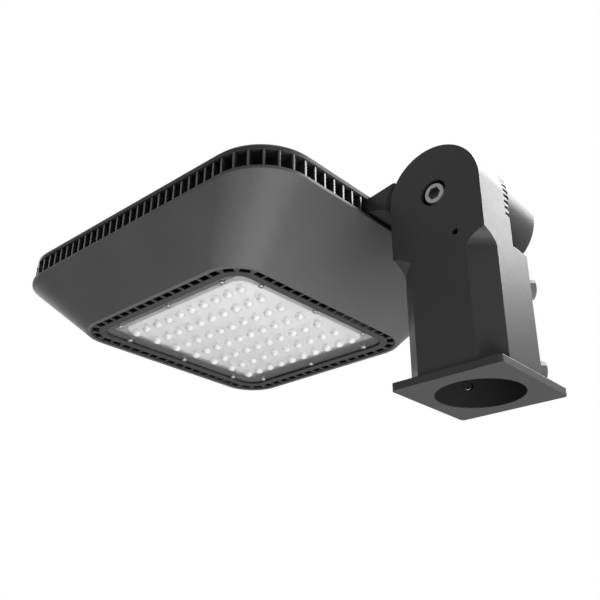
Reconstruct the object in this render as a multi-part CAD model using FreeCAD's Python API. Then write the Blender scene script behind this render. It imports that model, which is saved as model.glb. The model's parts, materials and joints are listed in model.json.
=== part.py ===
import FreeCAD, Part
import math
import os

# LED area light on an adjustable slip fitter, in millimetres.
# The origin is the centre of the pole socket at the flange's underside. +Z is up, the lamp head
# reaches towards -X, the tilt pivot runs along Y, and the clamp bolts face +Y.

os.makedirs("parts", exist_ok=True)

# Pole socket and its square flange
SOCKET_R = 31.0
SOCKET_DEPTH = 88.0
FLANGE_X = 84.5
FLANGE_Y = 90.0
FLANGE_T = 5.5
FLANGE_CORNER_R = 3.0

# Fitter casting
BODY_SHIFT_X = 2.0
BODY_HALF_X = 37.5
NEAR_WALL = 13.0
FAR_WALL = 9.0
CLAMP_WALL = 7.0
NEAR_CHAMFER = 15.0
COVE_FOOT_ANGLE = 25.0
COVE_CROWN_ANGLE = 75.0
ROOF_T = 10.0
WIRE_HOLE_R = 6.0

# Tilt knuckle
JOINT_OFFSET = 5.5
JOINT_GAP = 0.5
DISC_CLEARANCE = 4.5
DISC_T = 40.0
TOOTH_COUNT = 50
TOOTH_WIDTH = 2.6
TOOTH_ROOT_WIDTH = 1.8
CHEEK_TOOTH_DEPTH = 5.5
DISC_TOOTH_DEPTH = 1.5
TOOTH_INNER_R = 28.0
TOOTH_REACH = 5.0
WIRE_POCKET_R = 24.0
WIRE_POCKET_HUB_R = 12.0
WIRE_POCKET_DEPTH = 15.0

# Pivot screw, its nut and the small lock screw
PIVOT_R = 6.0
PIVOT_RUNNING_GAP = 0.06
PIVOT_HEAD_R = 8.4
PIVOT_HEAD_H = 12.0
PIVOT_HEAD_SUNK = 1.5
PIVOT_HEAD_CHAMFER = 0.8
PIVOT_HEX_FLATS = 9.0
PIVOT_HEX_DEPTH = 6.0
COUNTERBORE_R = 10.4
NUT_FLATS = 18.0
NUT_T = 10.0
WASHER_R = 12.0
WASHER_T = 2.5
WASHER_GAP = 0.2
NUT_POCKET_R = 14.0
LOCK_SCREW_R = 2.4
LOCK_SCREW_X = 15.0
LOCK_SCREW_RISE = 4.0
LOCK_SCREW_LENGTH = 12.0
LOCK_SCREW_SUNK = 7.0

# Clamp bolts that grip the pole
CLAMP_R = 4.0
CLAMP_RUNNING_GAP = 0.05
CLAMP_HEAD_FLATS = 13.0
CLAMP_HEAD_H = 5.3
CLAMP_STANDOFF = 3.5
CLAMP_TIP_GAP = 0.3
CLAMP_LOW_Z = 17.0
CLAMP_HIGH_Z = 80.0

# Lamp head: where it sits from the pivot, and its two main outlines
HEAD_REACH = 234.0
LIP_RISE = 18.0
SKIRT_H = 52.5
LIP_HALF_X = 163.0
LIP_HALF_Y = 144.5
LIP_CORNER_R = 46.0
LIP_EDGE = 2.5
RING_HALF_X = 97.0
RING_HALF_Y = 105.0
RING_CORNER_R = 24.5

# Skirt, the slotted bezel under it and the vented band above it
SKIRT_RIM = 8.0
SKIRT_WALL = 3.5
SKIRT_LEDGE = 0.8
HIDDEN_CHORDS = 6
LEDGE_REACH = 4.4
BEZEL_REACH = 5.6
BEZEL_T = 1.2
BEZEL_LIP = 9.5
INTAKE_PITCH = 11.0
INTAKE_LENGTH = 8.8
INTAKE_WIDTH = 6.0
BAND_H = 15.5
BAND_INSET = 1.5
BAND_DEPTH = 9.0
BAND_RAIL = 0.8
BAND_RAIL_EDGE = 0.5
BAND_PITCH = 10.9
BAND_SIDE_PITCH = 9.0
BAND_RIB = 1.8

# Top cover
COVER_INSET = 1.2
COVER_CORNER_R = 50.0
COVER_H = 6.5
COVER_PLATE = 3.5
COVER_WALL = 4.0
COVER_CHAMFER = 3.0
COVER_SCREW_R = 2.5
COVER_SCREW_HEAD_R = 4.5
COVER_SCREW_HEAD_H = 2.0

# Lens, light board and heat sink
LENS_INSET = 4.9
LENS_T = 2.0
DOME_R = 5.4
DOME_H = 3.4
DOME_SIDES = 6
DOME_CROWN_R = 3.0
LED_COLUMNS = 10
LED_ROWS = 7
LED_PITCH_X = 14.8
LED_PITCH_Y = 23.5
LED_SIZE = 4.0
LED_T = 0.8
BOARD_MARGIN_X = 13.4
BOARD_MARGIN_Y = 14.0
BOARD_T = 1.6
BOARD_GAP = 3.0
GASKET_W = 3.0
RIM_OUTSET = 3.2
RIM_CLEARANCE = 0.2
SINK_BASE = 5.0
FIN_T = 2.0
FIN_H = 16.0
FIN_LENGTH = 160.0
FIN_COUNT = 13
FIN_PITCH = 14.0
FIN_POST_GAP = 1.0
LENS_SCREW_HEAD_R = 3.4
LENS_SCREW_HEAD_H = 2.0
LENS_SCREW_CROWN_R = 2.4
SCREW_SIDES = 8
LENS_SCREW_EDGE_X = 13.5
LENS_SCREW_EDGE_Y = 15.0
LENS_SCREW_SPACING = 65.0

# Driver, terminals and the posts that carry the cover
POST_R = 5.0
POST_THREAD = 9.0
POST_X = 80.0
POST_Y = 86.0
DRIVER_X = 160.0
DRIVER_Y = 68.0
DRIVER_Z = 28.0
DRIVER_GAP = 7.0
DRIVER_FOOT = 12.0
DRIVER_FOOT_T = 3.0
DRIVER_SCREW_R = 2.0
DRIVER_SCREW_HEAD_R = 3.8
DRIVER_SCREW_HEAD_H = 2.2
TERMINAL_X = 22.0
TERMINAL_Y = 46.0
TERMINAL_Z = 14.0
TERMINAL_WAYS = 3
TERMINAL_WAY = 5.5
TERMINAL_KEY_FLATS = 6.5
TERMINAL_GAP = 9.0

# Arm from the knuckle into the head
ARM_HALF_Y = 25.0
ARM_LIFT = 3.5
ARM_FOOT_LENGTH = 50.0
ARM_SWEEP_R = 59.0
ARM_SHOULDER_X = 48.0
ARM_NECK_DROP = 10.0
ARM_WIRE_R = 4.0
ARM_WIRE_Y = 5.0
ARM_WIRE_DROP_X = 16.0
ARM_BOLT_R = 4.0
ARM_BOLT_HEAD_FLATS = 13.0
ARM_BOLT_HEAD_H = 5.0
ARM_BOLT_Y = 16.0
ARM_BOLT_EDGE = 12.0
ARM_BOLT_SPACING = 22.0
ARM_BOLT_BITE = 4.0
GROMMET_SIDES = 8
GROMMET_SLEEVE = 6.0
GROMMET_WALL = 1.2
GROMMET_FLANGE_R = 4.8
GROMMET_FLANGE_T = 2.0

# Planes and centres that follow from the sizes above
BODY_NEAR_Y = -(SOCKET_R + NEAR_WALL)
BODY_FAR_Y = SOCKET_R + FAR_WALL
BODY_TOP = SOCKET_DEPTH + ROOF_T
KNUCKLE_R = BODY_HALF_X
PIVOT_X = BODY_SHIFT_X
PIVOT_Z = BODY_TOP + DISC_CLEARANCE + KNUCKLE_R
JOINT_Y = -JOINT_OFFSET
DISC_NEAR_Y = JOINT_Y + JOINT_GAP
DISC_FAR_Y = DISC_NEAR_Y + DISC_T
NUT_SEAT_Y = DISC_FAR_Y - NUT_T - WASHER_T
LOCK_X = PIVOT_X + LOCK_SCREW_X
LOCK_Z = BODY_TOP + LOCK_SCREW_RISE
CHAMFER_DISTANCE = SOCKET_R + CLAMP_WALL
HEAD_X = PIVOT_X - HEAD_REACH
LIP_Z = PIVOT_Z + LIP_RISE
RIM_Z = LIP_Z - SKIRT_H
BEZEL_Z = RIM_Z + SKIRT_LEDGE
LENS_Z = BEZEL_Z + BEZEL_T
BOARD_Z = LENS_Z + LENS_T + BOARD_GAP
SINK_Z = BOARD_Z + BOARD_T
SINK_TOP = SINK_Z + SINK_BASE
BAND_TOP = LIP_Z + BAND_H
COVER_TOP = BAND_TOP + COVER_H
CEILING_Z = COVER_TOP - COVER_PLATE
COVER_EDGE_X = HEAD_X + LIP_HALF_X - COVER_INSET
ARM_BOTTOM = LIP_Z + ARM_LIFT
ARM_FOOT_X = COVER_EDGE_X - ARM_FOOT_LENGTH
ARM_WIRE_Z = (ARM_BOTTOM + BAND_TOP) / 2
TERMINAL_MID_X = ARM_FOOT_X - TERMINAL_GAP - TERMINAL_X / 2
DRIVER_MID_X = TERMINAL_MID_X - TERMINAL_X / 2 - DRIVER_GAP - DRIVER_FOOT - DRIVER_X / 2
OVERCUT = 1.0
SAME = 1e-4
X_AXIS = FreeCAD.Vector(1, 0, 0)
Y_AXIS = FreeCAD.Vector(0, 1, 0)
Z_AXIS = FreeCAD.Vector(0, 0, 1)


def vec(x, y, z):
    return FreeCAD.Vector(x, y, z)


def block(x0, x1, y0, y1, z0, z1):
    """A box between two corners."""
    return Part.makeBox(x1 - x0, y1 - y0, z1 - z0, vec(x0, y0, z0))


def rod(radius, start, direction, length):
    return Part.makeCylinder(radius, length, start, direction)


def rod_y(radius, y0, y1, x=PIVOT_X, z=PIVOT_Z):
    """A cylinder along Y, on the pivot unless told otherwise."""
    return rod(radius, vec(x, y0, z), Y_AXIS, y1 - y0)


def hex_prism(flats, height):
    """A hexagonal prism standing on the origin, along Z."""
    corner = flats / math.sqrt(3)
    angles = [k * math.pi / 3 for k in range(7)]
    points = [vec(corner * math.cos(a), corner * math.sin(a), 0) for a in angles]
    return Part.Face(Part.makePolygon(points)).extrude(vec(0, 0, height))


def ngon(sides, radius, z):
    """A regular polygon round the Z axis, as a closed wire."""
    angles = [(k + 0.5) * 2 * math.pi / sides for k in range(sides + 1)]
    return Part.makePolygon([vec(radius * math.cos(a), radius * math.sin(a), z) for a in angles])


def polyhedron(rings):
    """A solid with flat facets through closed polygons that match side for side."""
    faces = [Part.Face(rings[0]), Part.Face(rings[-1])]
    for low, high in zip(rings, rings[1:]):
        for a, b in zip(low.Edges, high.Edges):
            corners = [a.Vertexes[0].Point, a.Vertexes[1].Point, b.Vertexes[1].Point, b.Vertexes[0].Point]
            faces.append(Part.Face(Part.makePolygon(corners + corners[:1])))
    return Part.makeSolid(Part.makeShell(faces))


def faceted(sides, tiers):
    """A flat-sided turning through (radius, z) tiers round the Z axis."""
    return polyhedron([ngon(sides, radius, z) for radius, z in tiers])


def shank(radius, x, y, z0, z1):
    """A hidden thread or its hole, six-sided so that the many of them mesh with few facets."""
    prism = hex_prism(math.sqrt(3) * radius, z1 - z0)
    prism.translate(vec(x, y, z0))
    return prism


def turned(shape, direction, place):
    """The shape with its Z axis turned to a direction and its origin moved to a place."""
    moved = shape.copy()
    moved.Placement = FreeCAD.Placement(place, FreeCAD.Rotation(Z_AXIS, direction))
    return moved


def rounded_rect(half_x, half_y, radius, z):
    """A rounded rectangle round the head's centre, as a closed wire."""
    sides = [(half_x, half_y), (half_y, half_x)] * 2
    corners = []
    for k, (out, along) in enumerate(sides):
        n = vec(math.cos(k * math.pi / 2), math.sin(k * math.pi / 2), 0)
        t = vec(-n.y, n.x, 0)
        centre = vec(HEAD_X, 0, z) + n * (out - radius) + t * (along - radius)
        middle = centre + (n + t) * (radius / math.sqrt(2))
        corners.append((centre + n * radius, middle, centre + t * radius))
    edges = []
    for k, (begin, middle, end) in enumerate(corners):
        following = corners[(k + 1) % len(corners)][0]
        edges.append(Part.Arc(begin, middle, end).toShape())
        edges.append(Part.LineSegment(end, following).toShape())
    return Part.Wire(edges)


def ring_outline(offset, z):
    """The lens opening's centre line, grown by an offset."""
    return rounded_rect(RING_HALF_X + offset, RING_HALF_Y + offset, RING_CORNER_R + offset, z)


def lip_outline(inset, z, radius=LIP_CORNER_R):
    """The skirt's upper edge, drawn in by an inset."""
    return rounded_rect(LIP_HALF_X - inset, LIP_HALF_Y - inset, radius - inset, z)


def chorded(wire):
    """An outline with flat chords for its corner arcs, for a wall that doesn't show."""
    points = []
    for edge in wire.Edges:
        if isinstance(edge.Curve, Part.Circle):
            points += edge.discretize(HIDDEN_CHORDS + 1)
    return Part.makePolygon(points + points[:1])


def slab(wire, height):
    return Part.Face(wire).extrude(vec(0, 0, height))


def perimeter_points(half_x, half_y, radius, pitch, side_pitch):
    """Points round a rounded rectangle, each as (x, y, outward angle in degrees).

    The sides along X are spaced by side_pitch, the ends and the corners by pitch.
    """
    runs = [(half_x, half_y - radius, pitch), (half_y, half_x - radius, side_pitch)] * 2
    corner_steps = round(math.pi / 2 * radius / pitch)
    points = []
    for k, (out, half, spacing) in enumerate(runs):
        heading = k * math.pi / 2
        n = vec(math.cos(heading), math.sin(heading), 0)
        t = vec(-n.y, n.x, 0)
        steps = round(2 * half / spacing)
        for i in range(steps):
            spot = n * out + t * (2 * half * i / steps - half)
            points.append((spot.x, spot.y, math.degrees(heading)))
        for i in range(corner_steps):
            angle = heading + i / corner_steps * math.pi / 2
            spot = n * (out - radius) + t * half + vec(math.cos(angle), math.sin(angle), 0) * radius
            points.append((spot.x, spot.y, math.degrees(angle)))
    return points


def station_box(point, width, depth, z0, z1):
    """A box centred on a perimeter point and turned square to the outline there."""
    x, y, angle = point
    box = block(-depth / 2, depth / 2, -width / 2, width / 2, z0, z1)
    box.rotate(vec(0, 0, 0), Z_AXIS, angle)
    box.translate(vec(HEAD_X + x, y, 0))
    return box


def tooth_cutters(y_face, y_root, outer_r):
    """Radial grooves cut from a joint face at y_face down to a narrower root at y_root."""
    past = y_face + math.copysign(OVERCUT, y_face - y_root)
    root = TOOTH_ROOT_WIDTH / 2
    flare = (TOOTH_WIDTH / 2 - root) / abs(y_face - y_root)
    mouth = root + flare * abs(past - y_root)
    corners = [vec(TOOTH_INNER_R, y_root, root), vec(TOOTH_INNER_R, y_root, -root)]
    corners += [vec(TOOTH_INNER_R, past, -mouth), vec(TOOTH_INNER_R, past, mouth)]
    section = Part.Face(Part.makePolygon(corners + corners[:1]))
    cutters = []
    for k in range(TOOTH_COUNT):
        groove = section.extrude(vec(outer_r - TOOTH_INNER_R, 0, 0))
        groove.rotate(vec(0, 0, 0), Y_AXIS, (k + 0.5) * 360 / TOOTH_COUNT)
        groove.translate(vec(PIVOT_X, 0, PIVOT_Z))
        cutters.append(groove)
    return Part.makeCompound(cutters)


def wire_pocket(y0, y1):
    """The ring-shaped wire space round the pivot."""
    return rod_y(WIRE_POCKET_R, y0, y1).cut(rod_y(WIRE_POCKET_HUB_R, y0, y1))


def clamp_direction(side):
    return vec(side, 1, 0) * (1 / math.sqrt(2))


def near_chamfer_cutter(side):
    """Takes off one near corner of the body and runs out under the knuckle in a cove."""
    depth = NEAR_CHAMFER / math.sqrt(2)
    chord_angle = math.radians((COVE_FOOT_ANGLE + COVE_CROWN_ANGLE) / 2)
    half_turn = math.radians((COVE_CROWN_ANGLE - COVE_FOOT_ANGLE) / 2)
    foot = vec(0, 0, BODY_TOP - depth / math.tan(chord_angle))
    crown = vec(depth, 0, BODY_TOP)
    bulge = (crown - foot).Length / 2 * math.tan(half_turn / 2)
    middle = (foot + crown) * 0.5 + vec(-math.cos(chord_angle), 0, math.sin(chord_angle)) * bulge
    outside = [crown, vec(2 * depth, 0, BODY_TOP), vec(2 * depth, 0, FLANGE_T), vec(0, 0, FLANGE_T), foot]
    edges = [Part.Arc(foot, middle, crown).toShape()]
    edges += Part.makePolygon(outside).Edges
    cutter = Part.Face(Part.Wire(edges)).extrude(vec(0, 2 * NEAR_CHAMFER, 0))
    cutter.translate(vec(0, -NEAR_CHAMFER, 0))
    cutter.rotate(vec(0, 0, 0), Z_AXIS, -45 if side > 0 else -135)
    edge_x = PIVOT_X + side * (BODY_HALF_X - NEAR_CHAMFER / 2)
    cutter.translate(vec(edge_x, BODY_NEAR_Y + NEAR_CHAMFER / 2, 0))
    return cutter


def make_fitter_body():
    """Flange, pole socket and the near half of the toothed knuckle, as one casting."""
    x0 = PIVOT_X - BODY_HALF_X
    x1 = PIVOT_X + BODY_HALF_X
    flange = block(-FLANGE_X / 2, FLANGE_X / 2, -FLANGE_Y / 2, FLANGE_Y / 2, 0, FLANGE_T)
    upright = [e for e in flange.Edges if e.BoundBox.ZLength > FLANGE_T / 2]
    flange = flange.makeFillet(FLANGE_CORNER_R, upright)
    lower = block(x0, x1, BODY_NEAR_Y, BODY_FAR_Y, FLANGE_T, BODY_TOP)
    for side in (1, -1):
        n = clamp_direction(side)
        reach = 2 * CHAMFER_DISTANCE
        corner = block(-reach, reach, -reach, reach, FLANGE_T, BODY_TOP)
        corner.rotate(vec(0, 0, 0), Z_AXIS, 45)
        corner.translate(n * (CHAMFER_DISTANCE + reach))
        lower = lower.cut(corner)
    cheek = block(x0, x1, BODY_NEAR_Y, JOINT_Y, BODY_TOP, PIVOT_Z)
    body = flange.fuse([lower, cheek, rod_y(KNUCKLE_R, BODY_NEAR_Y, JOINT_Y)]).removeSplitter()
    wire_foot = vec(PIVOT_X, JOINT_Y - WIRE_POCKET_DEPTH / 2, SOCKET_DEPTH - OVERCUT)
    wire_rise = PIVOT_Z - WIRE_POCKET_HUB_R - SOCKET_DEPTH
    head_seat = BODY_NEAR_Y + PIVOT_HEAD_SUNK + PIVOT_HEAD_H
    lock_end = BODY_NEAR_Y + LOCK_SCREW_SUNK + LOCK_SCREW_LENGTH
    cutters = [near_chamfer_cutter(1), near_chamfer_cutter(-1)]
    cutters.append(rod(SOCKET_R, vec(0, 0, -OVERCUT), Z_AXIS, SOCKET_DEPTH + OVERCUT))
    cutters.append(rod(WIRE_HOLE_R, wire_foot, Z_AXIS, wire_rise))
    cutters.append(wire_pocket(JOINT_Y - WIRE_POCKET_DEPTH, JOINT_Y + OVERCUT))
    cutters.append(rod_y(COUNTERBORE_R, BODY_NEAR_Y - OVERCUT, head_seat))
    cutters.append(rod_y(PIVOT_R + PIVOT_RUNNING_GAP, BODY_NEAR_Y, JOINT_Y + OVERCUT))
    cutters.append(rod_y(LOCK_SCREW_R, BODY_NEAR_Y - OVERCUT, lock_end, LOCK_X, LOCK_Z))
    clamp_hole_r = CLAMP_R + CLAMP_RUNNING_GAP
    for side, z in CLAMP_PLACES:
        cutters.append(rod(clamp_hole_r, vec(0, 0, z), clamp_direction(side), 2 * CHAMFER_DISTANCE))
    for cutter in cutters:
        body = body.cut(cutter)
    return body.cut(tooth_cutters(JOINT_Y, JOINT_Y - CHEEK_TOOTH_DEPTH, KNUCKLE_R + TOOTH_REACH))


def make_pivot_bolt():
    """Socket-head screw that the arm turns on."""
    face_y = BODY_NEAR_Y + PIVOT_HEAD_SUNK
    seat_y = face_y + PIVOT_HEAD_H
    bolt = rod_y(PIVOT_HEAD_R, face_y, seat_y).fuse(rod_y(PIVOT_R, seat_y, DISC_FAR_Y)).removeSplitter()
    rim = [edge for edge in bolt.Edges if edge.BoundBox.YMax < face_y + SAME]
    bolt = bolt.makeChamfer(PIVOT_HEAD_CHAMFER, rim)
    socket = hex_prism(PIVOT_HEX_FLATS, PIVOT_HEX_DEPTH + OVERCUT)
    return bolt.cut(turned(socket, Y_AXIS, vec(PIVOT_X, face_y - OVERCUT, PIVOT_Z)))


def make_pivot_washer():
    y0 = NUT_SEAT_Y + WASHER_GAP
    return rod_y(WASHER_R, y0, NUT_SEAT_Y + WASHER_T).cut(rod_y(PIVOT_R, y0, NUT_SEAT_Y + WASHER_T))


def make_pivot_nut():
    y0 = NUT_SEAT_Y + WASHER_T
    nut = turned(hex_prism(NUT_FLATS, NUT_T), Y_AXIS, vec(PIVOT_X, y0, PIVOT_Z))
    return nut.cut(rod_y(PIVOT_R, y0, y0 + NUT_T))


def make_lock_screw():
    y0 = BODY_NEAR_Y + LOCK_SCREW_SUNK
    screw = rod_y(LOCK_SCREW_R, y0, y0 + LOCK_SCREW_LENGTH, LOCK_X, LOCK_Z)
    key = hex_prism(LOCK_SCREW_R, 2 * LOCK_SCREW_R)
    return screw.cut(turned(key, Y_AXIS, vec(LOCK_X, y0 - LOCK_SCREW_R, LOCK_Z)))


def make_clamp_bolt(side, z):
    """Hex bolt whose tip stops just outside the socket's wall."""
    n = clamp_direction(side)
    tip = SOCKET_R + CLAMP_TIP_GAP
    seat = CHAMFER_DISTANCE + CLAMP_STANDOFF
    thread = rod(CLAMP_R, n * tip + vec(0, 0, z), n, seat - tip)
    head = turned(hex_prism(CLAMP_HEAD_FLATS, CLAMP_HEAD_H), n, n * seat + vec(0, 0, z))
    return thread.fuse(head).removeSplitter()


def arm_side_view():
    """The arm's outline in the XZ plane, from its foot in the head to the pivot."""
    crown_z = PIVOT_Z + KNUCKLE_R
    neck_z = ARM_BOTTOM - ARM_NECK_DROP
    neck_x = PIVOT_X - math.sqrt(KNUCKLE_R ** 2 - (neck_z - PIVOT_Z) ** 2)
    top = [(ARM_FOOT_X, BAND_TOP), (COVER_EDGE_X, BAND_TOP), (PIVOT_X - ARM_SHOULDER_X, crown_z)]
    knuckle = [(PIVOT_X, crown_z), (PIVOT_X, PIVOT_Z), (neck_x, neck_z)]
    under = [(COVER_EDGE_X, ARM_BOTTOM), (ARM_FOOT_X, ARM_BOTTOM)]
    points = [vec(x, 0, z) for x, z in top + knuckle + under]
    return Part.Face(Part.makePolygon(points + points[:1]))


def arm_bolt_places():
    places = []
    for row in range(2):
        for side in (1, -1):
            places.append((ARM_FOOT_X + ARM_BOLT_EDGE + row * ARM_BOLT_SPACING, side * ARM_BOLT_Y))
    return places


def make_arm():
    """Toothed disc on the pivot, a neck beside the near cheek and a foot inside the head."""
    view = arm_side_view()
    far_half = view.copy()
    far_half.translate(vec(0, DISC_NEAR_Y, 0))
    far_half = far_half.extrude(vec(0, ARM_HALF_Y - DISC_NEAR_Y, 0))
    near_half = view.copy()
    near_half.translate(vec(0, -ARM_HALF_Y, 0))
    near_half = near_half.extrude(vec(0, ARM_HALF_Y + DISC_NEAR_Y, 0))
    near_half = near_half.cut(rod_y(ARM_SWEEP_R, -2 * ARM_HALF_Y, DISC_NEAR_Y))
    arm = far_half.fuse([near_half, rod_y(KNUCKLE_R, DISC_NEAR_Y, DISC_FAR_Y)]).removeSplitter()
    wire_mouth = vec(ARM_FOOT_X - OVERCUT, ARM_WIRE_Y, ARM_WIRE_Z)
    drop_foot = vec(PIVOT_X - ARM_WIRE_DROP_X, ARM_WIRE_Y, PIVOT_Z + WIRE_POCKET_HUB_R)
    cutters = [rod_y(PIVOT_R + PIVOT_RUNNING_GAP, DISC_NEAR_Y - OVERCUT, DISC_FAR_Y)]
    cutters.append(rod_y(NUT_POCKET_R, NUT_SEAT_Y, DISC_FAR_Y + OVERCUT))
    cutters.append(wire_pocket(DISC_NEAR_Y - OVERCUT, DISC_NEAR_Y + WIRE_POCKET_DEPTH))
    cutters.append(rod(ARM_WIRE_R, wire_mouth, X_AXIS, drop_foot.x + ARM_WIRE_R - wire_mouth.x))
    cutters.append(rod(ARM_WIRE_R, drop_foot, Z_AXIS, ARM_WIRE_Z - drop_foot.z))
    for x, y in arm_bolt_places():
        cutters.append(shank(ARM_BOLT_R, x, y, ARM_BOTTOM - OVERCUT, BAND_TOP + OVERCUT))
    for cutter in cutters:
        arm = arm.cut(cutter)
    return arm.cut(tooth_cutters(DISC_NEAR_Y, DISC_NEAR_Y + DISC_TOOTH_DEPTH, KNUCKLE_R + TOOTH_REACH))


def make_arm_bolts():
    bolts = []
    for x, y in arm_bolt_places():
        head = hex_prism(ARM_BOLT_HEAD_FLATS, ARM_BOLT_HEAD_H)
        head.translate(vec(x, y, ARM_BOTTOM - ARM_BOLT_HEAD_H))
        thread = shank(ARM_BOLT_R, x, y, ARM_BOTTOM, BAND_TOP + ARM_BOLT_BITE)
        bolts.append(head.fuse(thread).removeSplitter())
    return Part.makeCompound(bolts)


def make_wire_grommet():
    """Flanged rubber bush where the leads leave the arm's foot."""
    length = GROMMET_FLANGE_T + GROMMET_SLEEVE
    tiers = [(GROMMET_FLANGE_R, 0), (GROMMET_FLANGE_R, GROMMET_FLANGE_T)]
    tiers += [(ARM_WIRE_R, GROMMET_FLANGE_T), (ARM_WIRE_R, length)]
    hole = faceted(GROMMET_SIDES, [(ARM_WIRE_R - GROMMET_WALL, 0), (ARM_WIRE_R - GROMMET_WALL, length)])
    bush = faceted(GROMMET_SIDES, tiers).cut(hole)
    return turned(bush, X_AXIS, vec(ARM_FOOT_X - GROMMET_FLANGE_T, ARM_WIRE_Y, ARM_WIRE_Z))


def make_skirt():
    """Tapered shell of the head, wide at its upper lip, with a ledge for the bezel."""
    lip = lip_outline(0, LIP_Z - LIP_EDGE)
    taper = Part.makeLoft([ring_outline(SKIRT_RIM, RIM_Z), lip], True, True)
    outside = taper.fuse(slab(lip, LIP_EDGE))
    inside = [chorded(ring_outline(BEZEL_REACH, BEZEL_Z)), chorded(lip_outline(SKIRT_WALL, LIP_Z))]
    opening = slab(ring_outline(LEDGE_REACH, RIM_Z - OVERCUT), SKIRT_LEDGE + 2 * OVERCUT)
    return outside.cut(polyhedron(inside)).cut(opening)


def make_bezel():
    """Flat ring with the lower air slots and the lip round the lens."""
    ring = slab(ring_outline(BEZEL_REACH, BEZEL_Z), BEZEL_T)
    ring = ring.cut(slab(ring_outline(-BEZEL_LIP, BEZEL_Z), BEZEL_T))
    slots = []
    for point in perimeter_points(RING_HALF_X, RING_HALF_Y, RING_CORNER_R, INTAKE_PITCH, INTAKE_PITCH):
        slots.append(station_box(point, INTAKE_LENGTH, INTAKE_WIDTH, BEZEL_Z - OVERCUT, LENS_Z + OVERCUT))
    return ring.cut(Part.makeCompound(slots))


def make_vent_band():
    """Deep upright ribs on a thin rail, between the skirt's lip and the cover, clear of the arm."""
    inner = BAND_INSET + BAND_DEPTH
    rail = slab(lip_outline(BAND_INSET, LIP_Z), BAND_RAIL).cut(slab(lip_outline(inner, LIP_Z), BAND_RAIL))
    middle = BAND_INSET + BAND_DEPTH / 2
    outline = (LIP_HALF_X - middle, LIP_HALF_Y - middle, LIP_CORNER_R - middle)
    ribs = []
    foot_z = LIP_Z + BAND_RAIL / 2
    for point in perimeter_points(*outline, BAND_PITCH, BAND_SIDE_PITCH):
        at_arm = point[0] > 0 and abs(point[1]) < ARM_HALF_Y + BAND_RIB
        if not at_arm:
            ribs.append(station_box(point, BAND_RIB, BAND_DEPTH - 2 * BAND_RAIL_EDGE, foot_z, BAND_TOP))
    return rail.fuse(ribs).removeSplitter()


def post_places():
    return [(HEAD_X + sx * POST_X, sy * POST_Y) for sx in (1, -1) for sy in (1, -1)]


def driver_screw_places():
    half_y = DRIVER_Y / 4
    reach = DRIVER_X / 2 + DRIVER_FOOT / 2
    return [(DRIVER_MID_X + sx * reach, sy * half_y) for sx in (1, -1) for sy in (1, -1)]


def make_top_cover():
    """Shallow cast lid with a chamfered edge and a pad for the arm's foot."""
    lid = slab(lip_outline(COVER_INSET, BAND_TOP, COVER_CORNER_R), COVER_H)
    brink = [edge for edge in lid.Edges if edge.BoundBox.ZMin > COVER_TOP - SAME]
    lid = lid.makeChamfer(COVER_CHAMFER, brink)
    hollow = slab(lip_outline(COVER_INSET + COVER_WALL, BAND_TOP, COVER_CORNER_R), COVER_H - COVER_PLATE)
    pad = block(ARM_FOOT_X, COVER_EDGE_X - COVER_WALL, -ARM_HALF_Y, ARM_HALF_Y, BAND_TOP, CEILING_Z)
    lid = lid.cut(hollow.cut(pad))
    for x, y in arm_bolt_places():
        lid = lid.cut(shank(ARM_BOLT_R, x, y, BAND_TOP - OVERCUT, BAND_TOP + ARM_BOLT_BITE))
    seat = COVER_TOP - COVER_SCREW_HEAD_H
    for x, y in post_places():
        lid = lid.cut(shank(COVER_SCREW_R, x, y, CEILING_Z - OVERCUT, COVER_TOP))
        lid = lid.cut(rod(COVER_SCREW_HEAD_R, vec(x, y, seat), Z_AXIS, COVER_SCREW_HEAD_H + OVERCUT))
    return lid


def make_cover_screws():
    seat = COVER_TOP - COVER_SCREW_HEAD_H
    tip = CEILING_Z - POST_THREAD
    screws = []
    for x, y in post_places():
        head = faceted(SCREW_SIDES, [(COVER_SCREW_HEAD_R, seat), (COVER_SCREW_HEAD_R, COVER_TOP)])
        head.translate(vec(x, y, 0))
        thread = shank(COVER_SCREW_R, x, y, tip, seat)
        screws.append(head.fuse(thread).removeSplitter())
    return Part.makeCompound(screws)


def make_cover_posts():
    """Hexagonal pillars from the heat sink up to the cover, tapped for the cover screws."""
    posts = []
    for x, y in post_places():
        post = shank(POST_R, x, y, SINK_TOP, CEILING_Z)
        thread = shank(COVER_SCREW_R, x, y, CEILING_Z - POST_THREAD, CEILING_Z + OVERCUT)
        posts.append(post.cut(thread))
    return Part.makeCompound(posts)


def lens_screw_places():
    x_edge = RING_HALF_X - LENS_SCREW_EDGE_X
    y_edge = RING_HALF_Y - LENS_SCREW_EDGE_Y
    places = []
    for step in (-1, 0, 1):
        for side in (1, -1):
            places.append((HEAD_X + side * x_edge, step * LENS_SCREW_SPACING))
            places.append((HEAD_X + step * LENS_SCREW_SPACING, side * y_edge))
    return places


def led_places():
    places = []
    for column in range(LED_COLUMNS):
        for row in range(LED_ROWS):
            x = HEAD_X + (column - (LED_COLUMNS - 1) / 2) * LED_PITCH_X
            places.append((x, (row - (LED_ROWS - 1) / 2) * LED_PITCH_Y))
    return places


def make_lens_plate():
    """Clear cover with one domed optic under every light source."""
    plate = slab(ring_outline(-LENS_INSET, LENS_Z), LENS_T)
    dome = faceted(DOME_SIDES, [(DOME_R, LENS_Z), (DOME_CROWN_R, LENS_Z - DOME_H)])
    domes = []
    for x, y in led_places():
        copy = dome.copy()
        copy.translate(vec(x, y, 0))
        domes.append(copy)
    return plate.fuse(domes).removeSplitter()


def make_lens_gasket():
    low = LENS_Z + LENS_T
    outer = slab(ring_outline(-LENS_INSET, low), SINK_Z - low)
    return outer.cut(slab(ring_outline(-LENS_INSET - GASKET_W, low), SINK_Z - low))


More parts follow.
